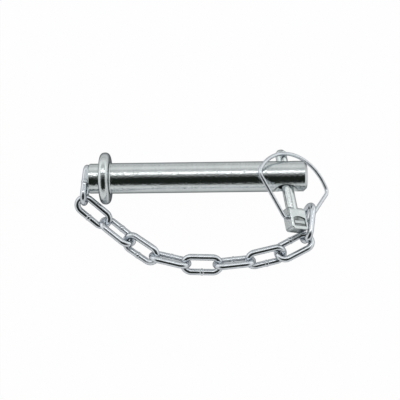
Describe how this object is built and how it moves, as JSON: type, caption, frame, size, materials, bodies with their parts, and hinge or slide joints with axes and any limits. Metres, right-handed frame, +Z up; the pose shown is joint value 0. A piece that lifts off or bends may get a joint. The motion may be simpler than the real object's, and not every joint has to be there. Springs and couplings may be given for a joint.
{
  "type": "top link pin",
  "caption": "Shouldered steel hitch pin with a cross hole, a spring-ring linch pin through it and a keeper chain welded to its stub.",
  "frame": {"origin": "on the axis of the shaft, midway between the seating face of the collar and the axis of the cross hole", "axes": "+X along the shaft from the collar to the cross hole, +Y towards the tip of the linch pin, +Z up from the surface that the part lies on"},
  "size_m": [0.2133, 0.103, 0.0444],
  "materials": {
    "turned_steel": "turned bar with a bright zinc plate, fine tool marks around the shaft",
    "forged_steel": "forged and bright zinc plated, soft rounded edges",
    "spring_wire": "smooth drawn spring wire, bright zinc plated",
    "chain_wire": "smooth drawn wire, bright zinc plated, with a butt weld on one side"
  },
  "bodies": {
    "pin": {"main_pin": "turned_steel", "chain_link_01": "chain_wire"},
    "linch": {"linch_pin": "forged_steel"},
    "ring": {"linch_ring": "spring_wire"},
    "link_02": {"chain_link_02": "chain_wire"},
    "link_03": {"chain_link_03": "chain_wire"},
    "link_04": {"chain_link_04": "chain_wire"},
    "link_05": {"chain_link_05": "chain_wire"},
    "link_06": {"chain_link_06": "chain_wire"},
    "link_07": {"chain_link_07": "chain_wire"},
    "link_08": {"chain_link_08": "chain_wire"},
    "link_09": {"chain_link_09": "chain_wire"},
    "link_10": {"chain_link_10": "chain_wire"}
  },
  "joints": [
    {"name": "linch_slide", "type": "slide", "parent": "pin", "child": "linch", "axis": [0.134, -0.991, 0], "range_m": [0, 0.038]},
    {"name": "ring_swing", "type": "hinge", "parent": "linch", "child": "ring", "pos_m": [0.0776, -0.03776, 0], "axis": [0.8216, 0.0337, -0.569], "range_deg": [-0.2, 174.62]},
    {"name": "link_02_turn", "type": "hinge", "parent": "pin", "child": "link_02", "pos_m": [-0.09397, -0.02131, 0], "axis": [0, 0, 1], "range_deg": [-0.2, 2.84]},
    {"name": "link_03_turn", "type": "hinge", "parent": "link_02", "child": "link_03", "pos_m": [-0.07878, -0.03252, -0.01212], "axis": [0, 0, 1], "range_deg": [-0.2, 4.4]},
    {"name": "link_04_turn", "type": "hinge", "parent": "link_03", "child": "link_04", "pos_m": [-0.05998, -0.04791, -0.0144], "axis": [0, 0, 1], "range_deg": [-0.2, 7.2]},
    {"name": "link_05_turn", "type": "hinge", "parent": "link_04", "child": "link_05", "pos_m": [-0.03854, -0.06319, -0.0135], "axis": [0, 0, 1], "range_deg": [-16.9, 0.2]},
    {"name": "link_10_turn", "type": "hinge", "parent": "linch", "child": "link_10", "pos_m": [0.09109, -0.03613, -0.00928], "axis": [0, 0, 1], "range_deg": [-3.55, 0.2]},
    {"name": "link_09_turn", "type": "hinge", "parent": "link_10", "child": "link_09", "pos_m": [0.08758, -0.05296, -0.01107], "axis": [0, 0, 1], "range_deg": [-34.91, 0.2]},
    {"name": "link_08_turn", "type": "hinge", "parent": "link_09", "child": "link_08", "pos_m": [0.06966, -0.06196, -0.0133], "axis": [0, 0, 1], "range_deg": [-0.2, 4.75]},
    {"name": "link_07_turn", "type": "hinge", "parent": "link_08", "child": "link_07", "pos_m": [0.0394, -0.06912, -0.0133], "axis": [0, 0, 1], "range_deg": [-0.2, 13.66]},
    {"name": "link_06_turn", "type": "hinge", "parent": "link_07", "child": "link_06", "pos_m": [0.01323, -0.0717, -0.0135], "axis": [0, 0, 1], "range_deg": [-0.2, 6.08]}
  ],
  "couplings": [
    {"joint": "ring_swing", "follows": "linch_slide", "rad_per_m": 78.54},
    {"joint": "link_02_turn", "follows": "linch_slide", "rad_per_m": 1.19},
    {"joint": "link_03_turn", "follows": "linch_slide", "rad_per_m": 1.89},
    {"joint": "link_04_turn", "follows": "linch_slide", "rad_per_m": 3.15},
    {"joint": "link_05_turn", "follows": "linch_slide", "rad_per_m": -7.52},
    {"joint": "link_10_turn", "follows": "linch_slide", "rad_per_m": -1.51},
    {"joint": "link_09_turn", "follows": "linch_slide", "rad_per_m": -15.63},
    {"joint": "link_08_turn", "follows": "linch_slide", "rad_per_m": 2.05},
    {"joint": "link_07_turn", "follows": "linch_slide", "rad_per_m": 6.06},
    {"joint": "link_06_turn", "follows": "linch_slide", "rad_per_m": 2.65}
  ]
}
